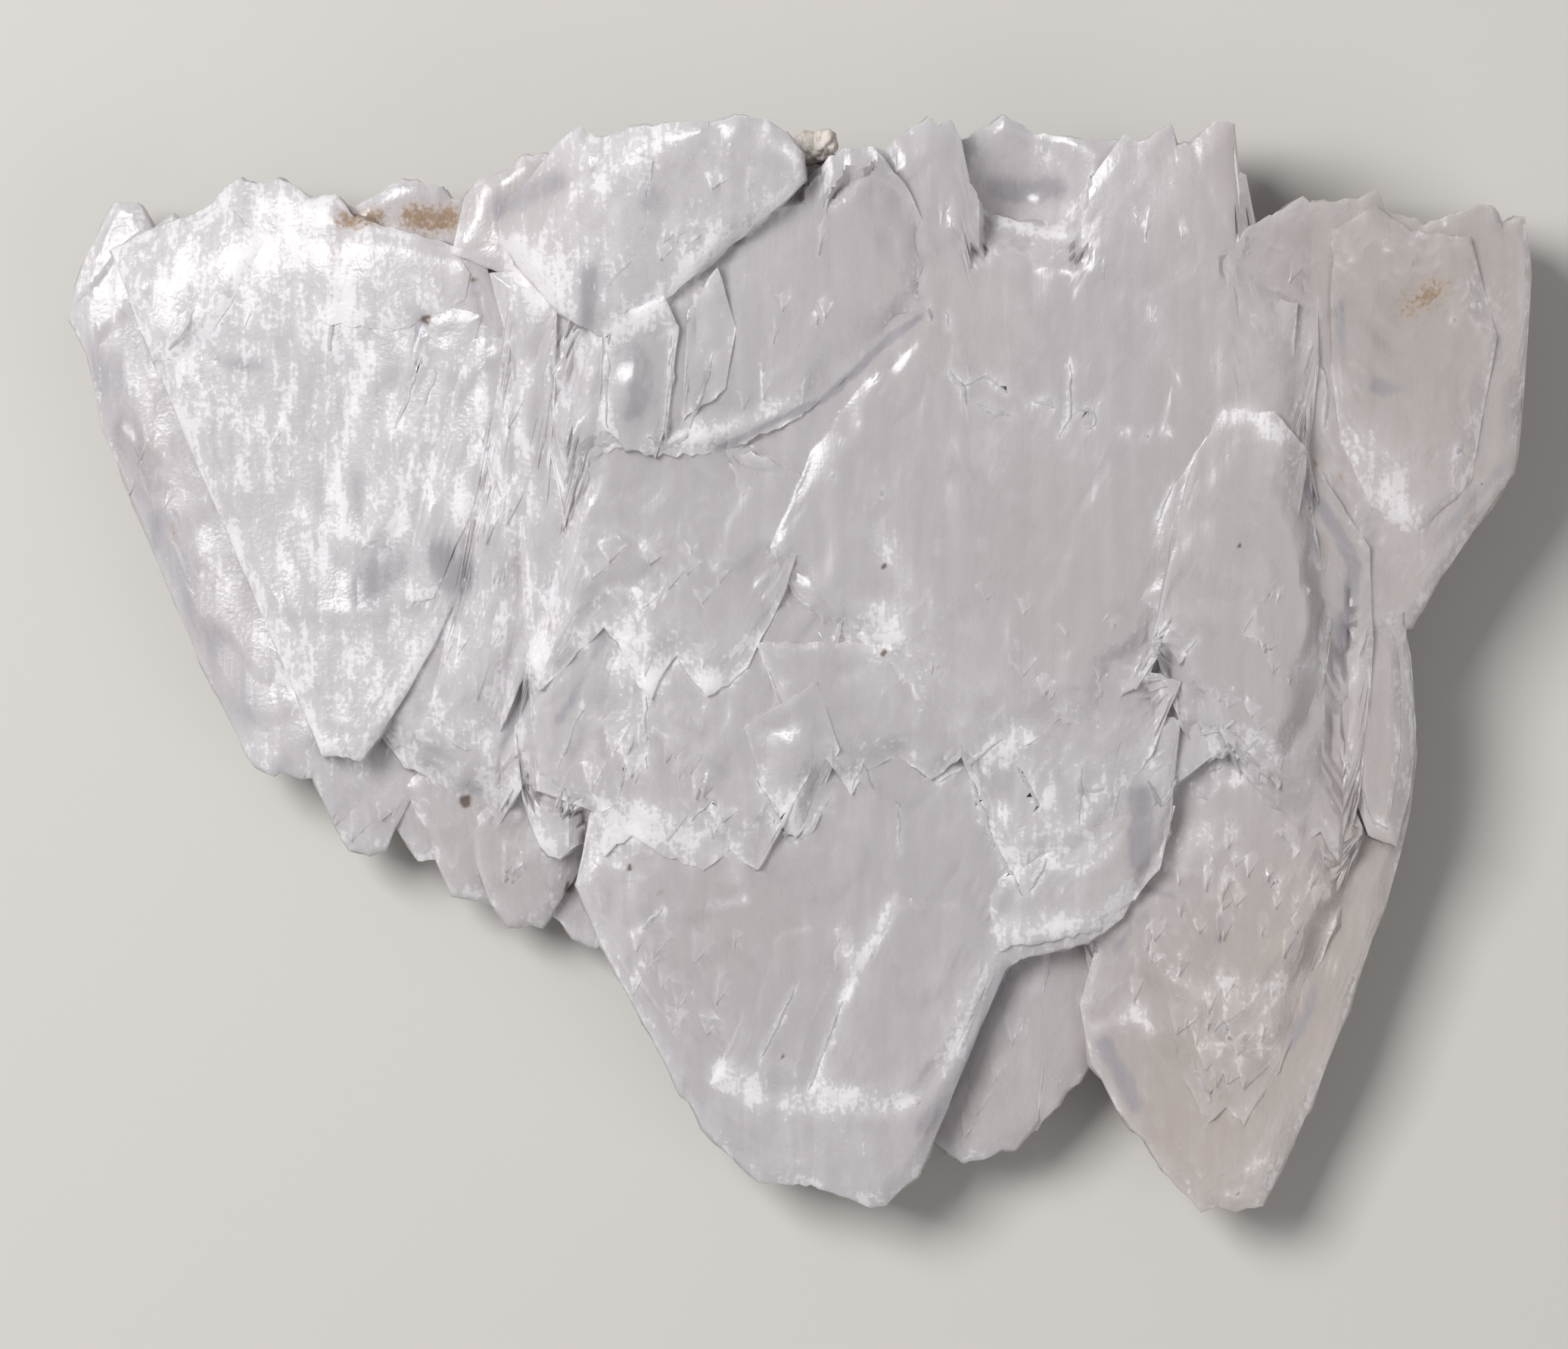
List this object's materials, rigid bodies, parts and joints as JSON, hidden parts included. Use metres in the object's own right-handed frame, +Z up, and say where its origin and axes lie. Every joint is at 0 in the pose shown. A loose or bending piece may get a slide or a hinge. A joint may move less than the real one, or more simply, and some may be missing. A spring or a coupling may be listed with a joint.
{
  "type": "angel wing selenite specimen",
  "caption": "Fan of fused, clear-to-milky gypsum blades with pointed tips and broken roots, lying on a flat cleaved back.",
  "frame": {"origin": "middle of the bounding box in plan, on the plane of the cleaved back that the specimen lies on", "axes": "+Z up out of the cleaved back, +Y from the blade tips towards the broken roots, +X towards the right shoulder"},
  "size_m": [0.09, 0.0674, 0.0238],
  "materials": {
    "selenite": "satin to pearly, milky and part see-through",
    "matrix_rock": "matt, sandy"
  },
  "bodies": {
    "root": {"selenite_wing": "selenite", "matrix_crumb": "matrix_rock"}
  },
  "joints": []
}
